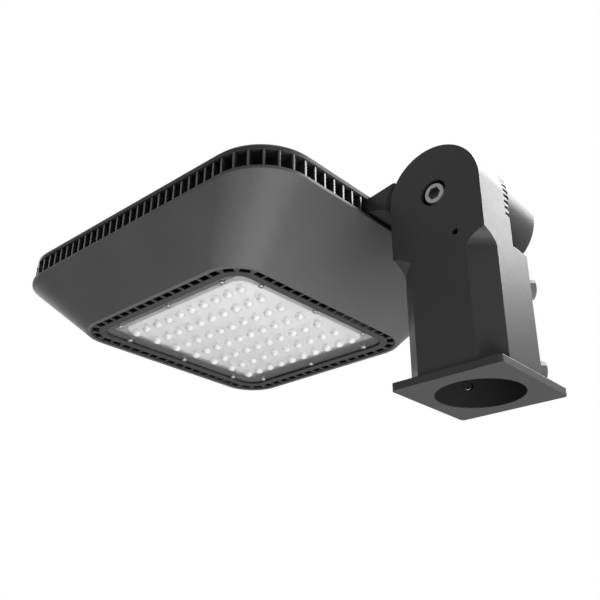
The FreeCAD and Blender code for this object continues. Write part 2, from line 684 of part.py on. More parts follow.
def make_lens_screws():
    """Plain heads round the lens, seated on its face."""
    tiers = [(LENS_SCREW_HEAD_R, LENS_Z), (LENS_SCREW_CROWN_R, LENS_Z - LENS_SCREW_HEAD_H)]
    heads = []
    for x, y in lens_screw_places():
        head = faceted(SCREW_SIDES, tiers)
        head.translate(vec(x, y, 0))
        heads.append(head)
    return Part.makeCompound(heads)


def make_led_board():
    half_x = (LED_COLUMNS - 1) / 2 * LED_PITCH_X + BOARD_MARGIN_X
    half_y = (LED_ROWS - 1) / 2 * LED_PITCH_Y + BOARD_MARGIN_Y
    return block(HEAD_X - half_x, HEAD_X + half_x, -half_y, half_y, BOARD_Z, SINK_Z)


def make_led_packages():
    half = LED_SIZE / 2
    packages = []
    for x, y in led_places():
        packages.append(block(x - half, x + half, y - half, y + half, BOARD_Z - LED_T, BOARD_Z))
    return Part.makeCompound(packages)


def make_heat_sink():
    """Finned plate behind the light board, with a rim that presses on the bezel."""
    base = slab(ring_outline(-RIM_OUTSET, LENS_Z), SINK_TOP - LENS_Z)
    base = base.cut(slab(ring_outline(RIM_CLEARANCE - LENS_INSET, LENS_Z), SINK_Z - LENS_Z))
    x0 = HEAD_X - FIN_LENGTH / 2
    fins = []
    for k in range(FIN_COUNT):
        y = (k - (FIN_COUNT - 1) / 2) * FIN_PITCH
        fins.append(block(x0, x0 + FIN_LENGTH, y - FIN_T / 2, y + FIN_T / 2, SINK_TOP, SINK_TOP + FIN_H))
    sink = base.fuse(fins).removeSplitter()
    for x, y in post_places():
        sink = sink.cut(shank(POST_R + FIN_POST_GAP, x, y, SINK_TOP, SINK_TOP + FIN_H + OVERCUT))
    return sink


def make_driver_case():
    """Potted power supply hung from the cover by a foot at each end."""
    x = DRIVER_MID_X
    half_x = DRIVER_X / 2
    half_y = DRIVER_Y / 2
    reach = half_x + DRIVER_FOOT
    foot_z = CEILING_Z - DRIVER_FOOT_T
    case = block(x - half_x, x + half_x, -half_y, half_y, CEILING_Z - DRIVER_Z, CEILING_Z)
    case = case.fuse(block(x - reach, x + reach, -half_y, half_y, foot_z, CEILING_Z)).removeSplitter()
    for px, py in driver_screw_places():
        case = case.cut(shank(DRIVER_SCREW_R, px, py, foot_z, CEILING_Z))
    return case


def make_driver_screws():
    seat = CEILING_Z - DRIVER_FOOT_T
    screws = []
    for x, y in driver_screw_places():
        head = shank(DRIVER_SCREW_HEAD_R, x, y, seat - DRIVER_SCREW_HEAD_H, seat)
        screws.append(head.fuse(shank(DRIVER_SCREW_R, x, y, seat, CEILING_Z)).removeSplitter())
    return Part.makeCompound(screws)


def make_terminal_block():
    """Screw terminals where the supply leads meet the driver's."""
    x0 = TERMINAL_MID_X - TERMINAL_X / 2
    x1 = TERMINAL_MID_X + TERMINAL_X / 2
    z0 = CEILING_Z - TERMINAL_Z
    body = block(x0, x1, -TERMINAL_Y / 2, TERMINAL_Y / 2, z0, CEILING_Z)
    step = TERMINAL_Y / TERMINAL_WAYS
    third = TERMINAL_Z / 3
    way_z = CEILING_Z - third
    half = TERMINAL_WAY / 2
    for k in range(TERMINAL_WAYS):
        y = (k - (TERMINAL_WAYS - 1) / 2) * step
        way = block(x0, x1, y - half, y + half, way_z - half, way_z + half)
        key = hex_prism(TERMINAL_KEY_FLATS, third + OVERCUT)
        key.translate(vec(TERMINAL_MID_X, y, z0 - OVERCUT))
        body = body.cut(way).cut(key)
    return body


CLAMP_PLACES = [(side, z) for z in (CLAMP_LOW_Z, CLAMP_HIGH_Z) for side in (1, -1)]

NODES = {
    "fitter_body": make_fitter_body(),
    "pivot_bolt": make_pivot_bolt(),
    "pivot_washer": make_pivot_washer(),
    "pivot_nut": make_pivot_nut(),
    "lock_screw": make_lock_screw(),
    "arm": make_arm(),
    "arm_bolts": make_arm_bolts(),
    "wire_grommet": make_wire_grommet(),
    "skirt": make_skirt(),
    "bezel": make_bezel(),
    "vent_band": make_vent_band(),
    "top_cover": make_top_cover(),
    "cover_screws": make_cover_screws(),
    "cover_posts": make_cover_posts(),
    "lens_plate": make_lens_plate(),
    "lens_gasket": make_lens_gasket(),
    "lens_screws": make_lens_screws(),
    "led_board": make_led_board(),
    "led_packages": make_led_packages(),
    "heat_sink": make_heat_sink(),
    "driver_case": make_driver_case(),
    "driver_screws": make_driver_screws(),
    "terminal_block": make_terminal_block(),
}
for number, (side, z) in enumerate(CLAMP_PLACES, start=1):
    NODES["clamp_bolt_%d" % number] = make_clamp_bolt(side, z)

for name, shape in NODES.items():
    shape.exportStep("parts/%s.step" % name)
    print(name, "solids", len(shape.Solids), "volume", round(shape.Volume), "valid", shape.isValid())
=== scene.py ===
"""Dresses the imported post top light: finishes, fine fittings, studio light and the camera."""

import json
import math

import bmesh
import bpy
from mathutils import Matrix, Vector
from mathutils.geometry import delaunay_2d_cdt

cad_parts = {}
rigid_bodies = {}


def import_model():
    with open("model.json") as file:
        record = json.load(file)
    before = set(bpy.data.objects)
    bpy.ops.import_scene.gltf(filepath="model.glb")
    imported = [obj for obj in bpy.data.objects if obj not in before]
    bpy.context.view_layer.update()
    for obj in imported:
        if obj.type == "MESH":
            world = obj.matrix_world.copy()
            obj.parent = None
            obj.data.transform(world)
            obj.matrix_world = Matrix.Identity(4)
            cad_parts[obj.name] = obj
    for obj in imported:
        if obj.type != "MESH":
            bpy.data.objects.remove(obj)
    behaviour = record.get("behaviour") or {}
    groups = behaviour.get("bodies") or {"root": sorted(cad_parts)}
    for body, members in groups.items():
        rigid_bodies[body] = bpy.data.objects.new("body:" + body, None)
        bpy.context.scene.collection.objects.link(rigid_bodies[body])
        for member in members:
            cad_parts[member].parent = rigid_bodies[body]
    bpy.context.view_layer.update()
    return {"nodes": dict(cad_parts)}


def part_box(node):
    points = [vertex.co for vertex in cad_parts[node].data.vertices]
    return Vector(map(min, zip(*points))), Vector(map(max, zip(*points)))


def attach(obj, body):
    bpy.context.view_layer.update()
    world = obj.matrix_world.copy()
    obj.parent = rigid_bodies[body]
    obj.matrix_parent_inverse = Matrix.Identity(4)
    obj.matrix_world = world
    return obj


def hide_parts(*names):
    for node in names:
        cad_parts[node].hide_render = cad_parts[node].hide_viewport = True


for leftover in list(bpy.data.objects):
    bpy.data.objects.remove(leftover)

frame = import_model()
NODES = frame["nodes"]

MM = 0.001

# Greys of the coats, of what lies on them or wears them, and of the shade painted into them
COAT_GREY = (0.126, 0.126, 0.128)
CAST_GREY = (0.054, 0.054, 0.055)
ARM_GREY = (0.062, 0.062, 0.063)
BAND_GREY = (0.084, 0.084, 0.085)
COVER_GREY = (0.085, 0.085, 0.086)
BEZEL_GREY = (0.06, 0.06, 0.061)
RUBBED_GREY = (0.2, 0.2, 0.202)
DUST_GREY = (0.16, 0.157, 0.15)
# Painted shade for recesses, the socket's wall and the metal behind the vents
PAINTED_SHADE_GREY = (0.016, 0.016, 0.016)

# How far the socket's wall is darkened by painted shade, from 0 to 1
SOCKET_SHADE = 0.72

# Metals, each with the shade that its edges are rubbed to where it has one
SINK_GREY = (0.27, 0.27, 0.273)
DRIVER_GREY = (0.55, 0.56, 0.57)
ZINC_GREY, ZINC_RUBBED = (0.25, 0.253, 0.257), (0.42, 0.42, 0.41)
BRIGHT_GREY, BRIGHT_RUBBED = (0.6, 0.603, 0.605), (0.7, 0.7, 0.69)

# Lens, domes, board, chips and mouldings
LENS_CLEAR, LENS_HAZY = (0.985, 0.99, 0.99), (0.95, 0.955, 0.955)
MILK_PALE, MILK_DULL = (0.84, 0.842, 0.84), (0.81, 0.812, 0.81)
# Painted highlight: the lighter milk toward each dome's crown
PAINTED_CROWN_HIGHLIGHT = (0.95, 0.95, 0.945)
BOARD_PALE, BOARD_DULL = (0.74, 0.74, 0.735), (0.7, 0.7, 0.695)
BOARD_TRACK, BOARD_BARE = (0.62, 0.62, 0.61), (0.29, 0.29, 0.29)
CHIP_WHITE = (0.75, 0.74, 0.715)
RUBBER_BLACK = (0.022, 0.022, 0.022)
TERMINAL_CREAM = (0.55, 0.54, 0.5)

# The lens plate's corner and the grid of light sources, in millimetres
LENS_CORNER_R = 19.6
LED_COLUMNS, LED_ROWS = 10, 7
LED_PITCH_X, LED_PITCH_Y = 14.8, 23.5

# Where a finish changes, and how wide the change is, in metres
# Each dome's painted highlight grows from the foot level to the crown level
DOME_FOOT_Z, DOME_CROWN_Z = 0.1068, 0.1049
BOARD_RIM, BOARD_FIELD_R = 0.0045, 0.012
FIELD_BLUR = 0.0006
TRACK_GAP = 0.0008
COAT_EDGE_R = 0.0007
RUB_WIDTH = 0.0007
SOCKET_R, SOCKET_TOP = 0.0313, 0.0885


# Node helpers

def add(tree, kind, values=None, **settings):
    """A new node with its own settings and the values of its input sockets."""
    node = tree.nodes.new(kind)
    for name, value in settings.items():
        setattr(node, name, value)
    for name, value in (values or {}).items():
        node.inputs[name].default_value = value
    return node


def math_node(tree, operation, first, second=None, clamp=False):
    """The result socket of one sum on sockets or plain numbers."""
    node = add(tree, "ShaderNodeMath", operation=operation, use_clamp=clamp)
    for place, value in enumerate((first, second)):
        if value is None:
            continue
        if hasattr(value, "is_linked"):
            tree.links.new(value, node.inputs[place])
        else:
            node.inputs[place].default_value = value
    return node.outputs[0]


def blend_colours(tree, factor, first, second):
    """The colour socket between two colours, each a socket or a plain colour."""
    node = add(tree, "ShaderNodeMix", data_type="RGBA")
    places = {0: factor, 6: first, 7: second}
    for place, value in places.items():
        if hasattr(value, "is_linked"):
            tree.links.new(value, node.inputs[place])
        elif place:
            node.inputs[place].default_value = (*value, 1.0)
        else:
            node.inputs[place].default_value = value
    return node.outputs[2]


def ranged(tree, value, low, high, to_low=0.0, to_high=1.0):
    """A socket's range stretched to another one, held at its ends."""
    node = add(tree, "ShaderNodeMapRange", {
        "From Min": low, "From Max": high, "To Min": to_low, "To Max": to_high,
    })
    tree.links.new(value, node.inputs["Value"])
    return node.outputs["Result"]


def noise(tree, place, scale, detail=3.0, roughness=0.55):
    """A noise value that is fixed to the object."""
    node = add(tree, "ShaderNodeTexNoise", {"Detail": detail, "Roughness": roughness})
    tree.links.new(place, node.inputs["Vector"])
    if hasattr(scale, "is_linked"):
        tree.links.new(scale, node.inputs["Scale"])
    else:
        node.inputs["Scale"].default_value = scale
    return node.outputs["Fac"]


def own_place(tree):
    """The point's place on its own object, in metres."""
    return add(tree, "ShaderNodeTexCoord").outputs["Object"]


def new_group(name, inputs, outputs):
    """An empty shader group with named float inputs and outputs."""
    tree = bpy.data.node_groups.new(name, "ShaderNodeTree")
    for label, value in inputs.items():
        socket = tree.interface.new_socket(name=label, in_out="INPUT", socket_type="NodeSocketFloat")
        socket.default_value = value
    for label in outputs:
        tree.interface.new_socket(name=label, in_out="OUTPUT", socket_type="NodeSocketFloat")
    return tree, tree.nodes.new("NodeGroupInput"), tree.nodes.new("NodeGroupOutput")


def use_group(tree, group, **values):
    """A group placed in a material, with its own values."""
    node = add(tree, "ShaderNodeGroup", node_tree=group)
    for name, value in values.items():
        node.inputs[name].default_value = value
    return node.outputs


# Shared effects

def make_coat_grain():
    """The orange peel of a sprayed coat and the slow drift of its tone."""
    tree, given, result = new_group(
        "coat_grain", {"Peel": 900.0, "Pits": 0.3}, ("Height", "Tone", "Patches"))
    place = own_place(tree)
    peel = noise(tree, place, given.outputs["Peel"], 2.0)
    coarse = math_node(tree, "MULTIPLY", given.outputs["Peel"], 0.31)
    lumps = noise(tree, place, coarse, 3.0)
    pits = ranged(tree, lumps, 0.36, 0.5)
    sunk = math_node(tree, "MULTIPLY", math_node(tree, "SUBTRACT", pits, 1.0), given.outputs["Pits"])
    height = math_node(tree, "ADD", peel, sunk)
    drift = noise(tree, place, 14.0, 4.0)
    speck = math_node(tree, "MULTIPLY", math_node(tree, "SUBTRACT", peel, 0.5), 0.35)
    tone = math_node(tree, "ADD", ranged(tree, drift, 0.3, 0.7, 0.93, 1.05), speck)
    tree.links.new(height, result.inputs["Height"])
    tree.links.new(tone, result.inputs["Tone"])
    tree.links.new(ranged(tree, noise(tree, place, 60.0, 5.0), 0.35, 0.65), result.inputs["Patches"])
    return tree


def make_edge_rub():
    """A mask along the outward edges, broken up as handling wears them."""
    tree, given, result = new_group("edge_rub", {"Width": 0.0008, "Amount": 1.0}, ("Mask",))
    bevel = add(tree, "ShaderNodeBevel", samples=6)
    tree.links.new(given.outputs["Width"], bevel.inputs["Radius"])
    geometry = add(tree, "ShaderNodeNewGeometry")
    turn = add(tree, "ShaderNodeVectorMath", operation="DOT_PRODUCT")
    tree.links.new(bevel.outputs["Normal"], turn.inputs[0])
    tree.links.new(geometry.outputs["Normal"], turn.inputs[1])
    edge = ranged(tree, math_node(tree, "SUBTRACT", 1.0, turn.outputs["Value"]), 0.02, 0.22)
    broken = ranged(tree, noise(tree, own_place(tree), 170.0, 5.0, 0.7), 0.42, 0.62)
    worn = math_node(tree, "MULTIPLY", edge, broken)
    tree.links.new(math_node(tree, "MULTIPLY", worn, given.outputs["Amount"], True), result.inputs["Mask"])
    return tree


def make_lying_dust():
    """A mask for the dust that lies on faces turned upwards."""
    tree, given, result = new_group("lying_dust", {"Amount": 0.3}, ("Mask",))
    geometry = add(tree, "ShaderNodeNewGeometry")
    parts = add(tree, "ShaderNodeSeparateXYZ")
    tree.links.new(geometry.outputs["Normal"], parts.inputs[0])
    upward = ranged(tree, parts.outputs["Z"], 0.55, 0.98)
    cloud = ranged(tree, noise(tree, own_place(tree), 38.0, 6.0, 0.65), 0.35, 0.75)
    lying = math_node(tree, "MULTIPLY", upward, cloud)
    tree.links.new(math_node(tree, "MULTIPLY", lying, given.outputs["Amount"], True), result.inputs["Mask"])
    return tree


def make_recess_shade():
    """A mask for painted shade in slots, corners and other deep places, from how little open sky they see."""
    tree, given, result = new_group("recess_shade", {"Reach": 0.012, "Spread": 2.0}, ("Mask",))
    open_sky = add(tree, "ShaderNodeAmbientOcclusion", samples=6)
    tree.links.new(given.outputs["Reach"], open_sky.inputs["Distance"])
    hidden = math_node(tree, "SUBTRACT", 1.0, open_sky.outputs["AO"])
    spread = math_node(tree, "MULTIPLY", hidden, given.outputs["Spread"])
    tree.links.new(math_node(tree, "SUBTRACT", spread, 0.75, True), result.inputs["Mask"])
    return tree


def make_rolled_lines():
    """Fine lines along X, as an extrusion or rolled sheet shows them."""
    tree, given, result = new_group("rolled_lines", {"Fineness": 900.0}, ("Lines", "Stains"))
    place = own_place(tree)
    stretch = add(tree, "ShaderNodeMapping", {"Scale": (0.02, 1.0, 1.0)})
    tree.links.new(place, stretch.inputs["Vector"])
    lines = noise(tree, stretch.outputs["Vector"], given.outputs["Fineness"], 3.0, 0.6)
    tree.links.new(lines, result.inputs["Lines"])
    tree.links.new(ranged(tree, noise(tree, place, 45.0, 5.0), 0.35, 0.7), result.inputs["Stains"])
    return tree


COAT_GRAIN = make_coat_grain()
EDGE_RUB = make_edge_rub()
LYING_DUST = make_lying_dust()
RECESS_SHADE = make_recess_shade()
ROLLED_LINES = make_rolled_lines()


# Finishes

def new_finish(name, **shader_values):
    """A material with one main shader, and the constant values set on that shader."""
    material = bpy.data.materials.new(name)
    material.use_nodes = True
    tree = material.node_tree
    tree.nodes.clear()
    shader = add(tree, "ShaderNodeBsdfPrincipled")
    for label, value in shader_values.items():
        shader.inputs[label.replace("_", " ")].default_value = value
    out = add(tree, "ShaderNodeOutputMaterial")
    tree.links.new(shader.outputs[0], out.inputs["Surface"])
    return material, tree, shader


def raise_surface(tree, shader, height, depth, edge_r=0.0):
    """A bump of the given depth in metres on the shader's normal, over edges rounded by a radius."""
    bump = add(tree, "ShaderNodeBump", {"Distance": depth})
    tree.links.new(height, bump.inputs["Height"])
    tree.links.new(bump.outputs["Normal"], shader.inputs["Normal"])
    if edge_r:
        rounding = add(tree, "ShaderNodeBevel", {"Radius": edge_r}, samples=6)
        tree.links.new(rounding.outputs["Normal"], bump.inputs["Normal"])


def shaded(tree, colour, tone):
    """A colour made lighter or darker by a tone value."""
    node = add(tree, "ShaderNodeVectorMath", {0: (*colour,)}, operation="SCALE")
    tree.links.new(tone, node.inputs["Scale"])
    return node.outputs["Vector"]


def painted_socket_shade(tree):
    """A part mask of painted shade for the wall of the pole socket."""
    parts = add(tree, "ShaderNodeSeparateXYZ")
    tree.links.new(own_place(tree), parts.inputs[0])
    squares = [math_node(tree, "MULTIPLY", parts.outputs[k], parts.outputs[k]) for k in ("X", "Y")]
    across = math_node(tree, "SQRT", math_node(tree, "ADD", *squares))
    near = math_node(tree, "LESS_THAN", across, SOCKET_R)
    inside = math_node(tree, "MULTIPLY", near, math_node(tree, "LESS_THAN", parts.outputs["Z"], SOCKET_TOP))
    return math_node(tree, "MULTIPLY", inside, SOCKET_SHADE)


def make_coat(name, colour, peel, pits, depth, roughness, dust,
              gloss=0.2, reach=0.012, spread=2.0, socket=False):
    """Dark grey powder coat with its peel, rubbed edges, painted shade in its recesses and a little dust on
    top.
    """
    material, tree, shader = new_finish(name, Specular_IOR_Level=gloss)
    grain = use_group(tree, COAT_GRAIN, Peel=peel, Pits=pits)
    rub = use_group(tree, EDGE_RUB, Width=RUB_WIDTH, Amount=0.55)
    lying = use_group(tree, LYING_DUST, Amount=dust)
    painted_shade = use_group(tree, RECESS_SHADE, Reach=reach, Spread=spread)["Mask"]
    if socket:
        painted_shade = math_node(tree, "MAXIMUM", painted_shade, painted_socket_shade(tree))
    coated = shaded(tree, colour, grain["Tone"])
    edged = blend_colours(tree, rub["Mask"], coated, RUBBED_GREY)
    dusty = blend_colours(tree, lying["Mask"], edged, DUST_GREY)
    # Painted shade: recesses, and the socket's wall where asked, are blended toward a near black
    tree.links.new(blend_colours(tree, painted_shade, dusty, PAINTED_SHADE_GREY), shader.inputs["Base Color"])
    rough = ranged(tree, grain["Patches"], 0.0, 1.0, roughness - 0.015, roughness + 0.015)
    dull = math_node(tree, "MULTIPLY", math_node(tree, "ADD", lying["Mask"], painted_shade), 0.3)
    tree.links.new(math_node(tree, "ADD", rough, dull), shader.inputs["Roughness"])
    raise_surface(tree, shader, grain["Height"], depth, COAT_EDGE_R)
    return material


def make_zinc_steel(name, colour, rubbed):
    """Zinc plated fasteners with a faint mottle."""
    material, tree, shader = new_finish(name, Metallic=1.0)
    grain = use_group(tree, COAT_GRAIN, Peel=2600.0, Pits=0.15)
    rub = use_group(tree, EDGE_RUB, Width=0.0005, Amount=0.8)
    plated = shaded(tree, colour, grain["Tone"])
    tree.links.new(blend_colours(tree, rub["Mask"], plated, rubbed), shader.inputs["Base Color"])
    tree.links.new(ranged(tree, grain["Patches"], 0.0, 1.0, 0.3, 0.46), shader.inputs["Roughness"])
    raise_surface(tree, shader, grain["Height"], 0.00001)
    return material


def beyond_field(tree, place, node, inset, corner_r):
    """A mask for what lies outside a rounded field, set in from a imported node's sides."""
    low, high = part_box(node)
    parts = add(tree, "ShaderNodeSeparateXYZ")
    tree.links.new(place, parts.inputs[0])
    squares = []
    for axis, label in enumerate("XY"):
        away = math_node(tree, "SUBTRACT", parts.outputs[label], (low[axis] + high[axis]) / 2)
        straight = (high[axis] - low[axis]) / 2 - inset - corner_r
        over = math_node(tree, "SUBTRACT", math_node(tree, "ABSOLUTE", away), straight)
        over = math_node(tree, "MAXIMUM", over, 0.0)
        squares.append(math_node(tree, "MULTIPLY", over, over))
    distance = math_node(tree, "SQRT", math_node(tree, "ADD", *squares))
    return ranged(tree, distance, corner_r - FIELD_BLUR, corner_r + FIELD_BLUR)


def make_bare_alloy(name, colour, fineness, low, high, shade_outside_lens=False):
    """Uncoated metal with rolled lines and light stains, with painted shade behind the vents where asked."""
    material, tree, shader = new_finish(name, Metallic=1.0)
    rolled = use_group(tree, ROLLED_LINES, Fineness=fineness)
    tone = ranged(tree, rolled["Lines"], 0.3, 0.7, 0.86, 1.08)
    surface = shaded(tree, colour, tone)
    if shade_outside_lens:
        # Painted shade: outside the lens plate's outline the metal is blended toward a near black
        vent_shade = beyond_field(tree, own_place(tree), "lens_plate", 0.0, LENS_CORNER_R * MM)
        surface = blend_colours(tree, vent_shade, surface, PAINTED_SHADE_GREY)
    tree.links.new(surface, shader.inputs["Base Color"])
    tree.links.new(ranged(tree, rolled["Stains"], 0.0, 1.0, low, high), shader.inputs["Roughness"])
    raise_surface(tree, shader, rolled["Lines"], 0.00002)
    return material


def make_clear_lens():
    """The clear moulded plate, with a faint ripple and a trace of haze."""
    material, tree, shader = new_finish(
        "clear_lens", Transmission_Weight=1.0, IOR=1.49, Coat_Weight=0.6, Coat_Roughness=0.07)
    place = own_place(tree)
    ripple = noise(tree, place, 90.0, 2.0)
    haze = noise(tree, place, 35.0, 5.0)
    tint = blend_colours(tree, ranged(tree, haze, 0.35, 0.7), LENS_CLEAR, LENS_HAZY)
    tree.links.new(tint, shader.inputs["Base Color"])
    tree.links.new(ranged(tree, haze, 0.3, 0.7, 0.06, 0.12), shader.inputs["Roughness"])
    raise_surface(tree, shader, ripple, 0.00008)
    return material


def make_frosted_optic():
    """The domes' milky plastic, glossy outside and cloudy within, with a painted highlight toward each crown.
    """
    material, tree, shader = new_finish(
        "frosted_optic", Transmission_Weight=0.12, IOR=1.49, Coat_Weight=1.0, Coat_Roughness=0.12)
    place = own_place(tree)
    cloud = noise(tree, place, 260.0, 4.0)
    parts = add(tree, "ShaderNodeSeparateXYZ")
    tree.links.new(place, parts.inputs[0])
    # Painted highlight: the milk turns lighter from each dome's foot to its crown
    crown = ranged(tree, parts.outputs["Z"], DOME_FOOT_Z, DOME_CROWN_Z)
    milk = blend_colours(tree, ranged(tree, cloud, 0.35, 0.65), MILK_PALE, MILK_DULL)
    tree.links.new(blend_colours(tree, crown, milk, PAINTED_CROWN_HIGHLIGHT), shader.inputs["Base Color"])
    tree.links.new(ranged(tree, cloud, 0.3, 0.7, 0.34, 0.46), shader.inputs["Roughness"])
    raise_surface(tree, shader, cloud, 0.00002)
    return material


def make_board_white():
    """White solder mask with the faint outline of the copper below it and a bare border."""
    material, tree, shader = new_finish("board_white")
    place = own_place(tree)
    copper = add(tree, "ShaderNodeTexBrick", {
        "Scale": 1.0, "Mortar Size": TRACK_GAP, "Mortar Smooth": 0.3,
        "Brick Width": LED_PITCH_X * MM, "Row Height": LED_PITCH_Y * MM,
    }, offset=0.0)
    tree.links.new(place, copper.inputs["Vector"])
    cloud = noise(tree, place, 120.0, 4.0)
    mask = blend_colours(tree, ranged(tree, cloud, 0.3, 0.7), BOARD_PALE, BOARD_DULL)
    faint = math_node(tree, "MULTIPLY", copper.outputs["Fac"], 0.25)
    drawn = blend_colours(tree, faint, mask, BOARD_TRACK)
    border = beyond_field(tree, place, "led_board", BOARD_RIM, BOARD_FIELD_R)
    bordered = blend_colours(tree, border, drawn, BOARD_BARE)
    tree.links.new(bordered, shader.inputs["Base Color"])
    tree.links.new(ranged(tree, cloud, 0.3, 0.7, 0.38, 0.52), shader.inputs["Roughness"])
    raise_surface(tree, shader, copper.outputs["Fac"], 0.00004)
    return material


def make_led_phosphor():
    """Pale encapsulant over the light chips, a shade warmer than the board."""
    material, tree, shader = new_finish("led_phosphor", IOR=1.45)
    grain = use_group(tree, COAT_GRAIN, Peel=5000.0, Pits=0.1)
    tree.links.new(shaded(tree, CHIP_WHITE, grain["Tone"]), shader.inputs["Base Color"])
    tree.links.new(ranged(tree, grain["Patches"], 0.0, 1.0, 0.25, 0.4), shader.inputs["Roughness"])
    raise_surface(tree, shader, grain["Height"], 0.00001)
    return material


def make_moulded(name, colour, peel, depth, low, high):
    """Moulded rubber or plastic with a fine spark grain."""
    material, tree, shader = new_finish(name)
    grain = use_group(tree, COAT_GRAIN, Peel=peel, Pits=0.5)
    tree.links.new(shaded(tree, colour, grain["Tone"]), shader.inputs["Base Color"])
    tree.links.new(ranged(tree, grain["Patches"], 0.0, 1.0, low, high), shader.inputs["Roughness"])
    raise_surface(tree, shader, grain["Height"], depth)
    return material


FINISHES = {
    "powder_coat": make_coat(
        "powder_coat", COAT_GREY, peel=1500.0, pits=0.15, depth=0.00003, roughness=0.46, dust=0.12,
        reach=0.03, spread=3.0),
    "cast_coat": make_coat(
        "cast_coat", CAST_GREY, peel=900.0, pits=0.6, depth=0.000035, roughness=0.38, dust=0.15,
        spread=1.5, socket=True),
    "bare_aluminium": make_bare_alloy(
        "bare_aluminium", SINK_GREY, fineness=1200.0, low=0.4, high=0.55, shade_outside_lens=True),
    "driver_metal": make_bare_alloy("driver_metal", DRIVER_GREY, fineness=2000.0, low=0.32, high=0.5),
    "zinc_steel": make_zinc_steel("zinc_steel", ZINC_GREY, ZINC_RUBBED),
    "clear_lens": make_clear_lens(),
    "board_white": make_board_white(),
    "led_yellow": make_led_phosphor(),
    "black_rubber": make_moulded(
        "black_rubber", RUBBER_BLACK, peel=2200.0, depth=0.00004, low=0.6, high=0.75),
    "terminal_plastic": make_moulded(
        "terminal_plastic", TERMINAL_CREAM, peel=1800.0, depth=0.00003, low=0.4, high=0.52),
}

# Nodes whose coat differs a little from that of their slot
OWN_COATS = {
    "bezel": make_coat(
        "bezel_coat", BEZEL_GREY, peel=1500.0, pits=0.15, depth=0.00003, roughness=0.42, dust=0.0,
        reach=0.02, spread=3.0),
    "arm": make_coat(
        "arm_coat", ARM_GREY, peel=900.0, pits=0.6, depth=0.000035, roughness=0.38, dust=0.15,
        spread=1.5),
    "vent_band": make_coat(
        "band_coat", BAND_GREY, peel=1500.0, pits=0.15, depth=0.00002, roughness=0.3, dust=0.12,
        gloss=0.5, spread=4.0),
    "top_cover": make_coat(
        "cover_coat", COVER_GREY, peel=1500.0, pits=0.15, depth=0.00003, roughness=0.5, dust=0.34,
        gloss=0.12, spread=4.0),
}
BRIGHT_ZINC = make_zinc_steel("bright_zinc", BRIGHT_GREY, BRIGHT_RUBBED)


def finish_nodes():
    """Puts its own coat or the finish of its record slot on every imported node."""
    for name, node in NODES.items():
        for place in node.material_slots:
            place.material = OWN_COATS.get(name) or FINISHES[place.material.name.split(".")[0]]


finish_nodes()


# Mesh helpers, in millimetres until a piece is placed

def circle(radius, z, count):
    """Points round the Z axis."""
    angles = [2 * math.pi * k / count for k in range(count)]
    return [(radius * math.cos(a), radius * math.sin(a), z) for a in angles]


def loop_of(bm, points):
    """New mesh points in the order given."""
    return [bm.verts.new(point) for point in points]


def skin(bm, low, high):
    """A band of faces between two loops of as many points."""
    for k in range(len(low)):
        after = (k + 1) % len(low)
        bm.faces.new((low[k], low[after], high[after], high[k]))


def stack(bm, rings):
    """Bands through several rings of points, with the loops they make."""
    loops = [loop_of(bm, points) for points in rings]
    for low, high in zip(loops, loops[1:]):
        skin(bm, low, high)
    return loops


def pierce(bm, rim, mouth):
    """A flat face between an outer loop and the mouth of a recess inside it."""
    edges = []
    for loop in (rim, mouth):
        for k in range(len(loop)):
            pair = (loop[k], loop[(k + 1) % len(loop)])
            edges.append(bm.edges.get(pair) or bm.edges.new(pair))
    bmesh.ops.triangle_fill(bm, use_beauty=True, edges=edges)


SHARP_TURN = 35.0


def shaped(name, make, places):
    """One mesh in metres that repeats a shape at each place, a matrix in millimetres."""
    single = bmesh.new()
    make(single)
    bmesh.ops.recalc_face_normals(single, faces=single.faces)
    pattern = bpy.data.meshes.new(name + "_pattern")
    single.to_mesh(pattern)
    single.free()
    whole = bmesh.new()
    for place in places:
        known = len(whole.verts)
        whole.from_mesh(pattern)
        whole.verts.ensure_lookup_table()
        bmesh.ops.transform(whole, matrix=place, verts=whole.verts[known:])
    bmesh.ops.scale(whole, vec=(MM, MM, MM), verts=whole.verts)
    bpy.data.meshes.remove(pattern)
    mesh = bpy.data.meshes.new(name)
    whole.to_mesh(mesh)
    whole.free()
    mesh.shade_smooth()
    mesh.set_sharp_from_angle(angle=math.radians(SHARP_TURN))
    return mesh


def fit_piece(mesh, body, slot, node):
    """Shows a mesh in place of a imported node, on that node's body and in its finish."""
    piece = bpy.data.objects.new(mesh.name, mesh)
    bpy.context.collection.objects.link(piece)
    mesh.materials.append(FINISHES[slot])
    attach(piece, body)
    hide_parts(node)
    return piece


def facing(direction, place, twist=0.0):
    """A matrix that turns the Z axis to a direction and moves the origin to a place."""
    turn = Vector((0.0, 0.0, 1.0)).rotation_difference(Vector(direction)).to_matrix().to_4x4()
    return Matrix.Translation(Vector(place)) @ turn @ Matrix.Rotation(twist, 4, "Z")


# Clear optics: a plate with a milky dome under every light source

PLATE_T = 2.0
DOME_R = 4.4
DOME_H = 2.8
DOME_POINTS = 24
DOME_RINGS = 7


def lens_box():
    """The lens plate's centre, half sides and the levels of its two faces, in millimetres."""
    low, high = (Vector(corner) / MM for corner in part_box("lens_plate"))
    return (low + high) / 2, (high - low) / 2, high.z - PLATE_T, high.z


def led_places():
    """The plane points of the light sources, column by column."""
    middle = lens_box()[0]
    places = []
    for column in range(LED_COLUMNS):
        for row in range(LED_ROWS):
            x = middle.x + (column - (LED_COLUMNS - 1) / 2) * LED_PITCH_X
            places.append((x, middle.y + (row - (LED_ROWS - 1) / 2) * LED_PITCH_Y))
    return places


